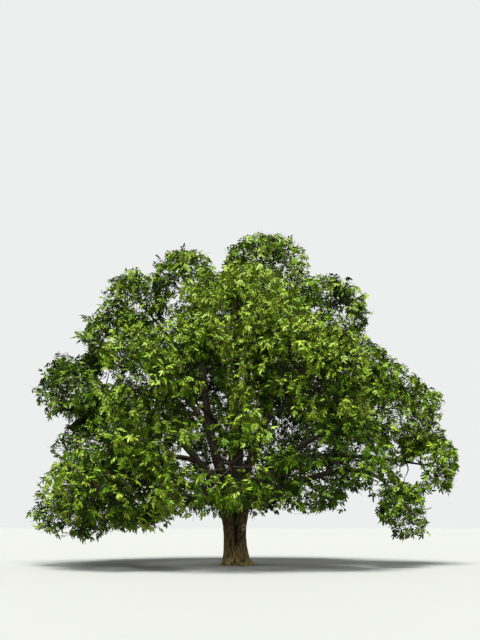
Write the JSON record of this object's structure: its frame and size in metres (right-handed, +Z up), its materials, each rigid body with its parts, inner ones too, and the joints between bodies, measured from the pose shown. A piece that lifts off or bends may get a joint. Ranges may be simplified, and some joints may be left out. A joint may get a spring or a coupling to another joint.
{
  "type": "walnut tree",
  "caption": "Broad, open-grown walnut tree in full summer leaf, with a short fissured trunk, spreading boughs and a low domed crown that hangs near the ground.",
  "frame": {"origin": "middle of the flat cut under the trunk, at ground level", "axes": "+Z up, +X to the right-hand side of the front view, -Y towards the viewer of the front view"},
  "size_m": [17.3004, 15.2706, 13.2709],
  "materials": {
    "bark": "rough, deeply furrowed grey-brown bark",
    "leaves_light": "satin, sunlit yellow-green walnut leaves",
    "leaves_fresh": "satin, fresh mid-green walnut leaves",
    "leaves_mid": "satin, mid-green walnut leaves",
    "leaves_olive": "satin, olive-green walnut leaves",
    "leaves_deep": "satin, shaded deep-green walnut leaves"
  },
  "bodies": {
    "root": {"trunk": "bark", "bough_head_right": "bark", "bough_head_left": "bark", "bough_upper_back": "bark", "bough_upper_front": "bark", "bough_right_top": "bark", "bough_right_upper": "bark", "bough_left_far": "bark", "bough_right_droop": "bark", "bough_left_bottom": "bark", "bough_skirt_front_left": "bark", "bough_skirt_front": "bark", "bough_skirt_front_right": "bark", "bough_skirt_back_left": "bark", "bough_skirt_back": "bark", "bough_skirt_back_right": "bark", "bough_left_top": "bark", "bough_left_shoulder": "bark", "bough_left_low": "bark", "bough_right_shoulder": "bark", "bough_right_far": "bark", "bough_mid_front_left": "bark", "bough_mid_front_right": "bark", "bough_mid_back_left": "bark", "bough_mid_back_right": "bark", "foliage_right_far": "leaves_fresh", "foliage_right_droop": "leaves_deep", "foliage_right_upper": "leaves_fresh", "foliage_right_shoulder": "leaves_mid", "foliage_right_top": "leaves_mid", "foliage_left_bottom": "leaves_olive", "foliage_left_low": "leaves_mid", "foliage_left_far": "leaves_deep", "foliage_left_shoulder": "leaves_deep", "foliage_left_top": "leaves_mid", "foliage_head_left": "leaves_mid", "foliage_head_right": "leaves_light", "foliage_skirt_front_left": "leaves_olive", "foliage_skirt_front": "leaves_light", "foliage_skirt_front_right": "leaves_fresh", "foliage_skirt_back_left": "leaves_deep", "foliage_skirt_back": "leaves_mid", "foliage_skirt_back_right": "leaves_deep", "foliage_mid_front_left": "leaves_mid", "foliage_mid_front_right": "leaves_light", "foliage_mid_back_left": "leaves_deep", "foliage_mid_back_right": "leaves_mid", "foliage_upper_front": "leaves_light", "foliage_upper_back": "leaves_mid", "foliage_trunk_shoots": "leaves_light"}
  },
  "joints": []
}
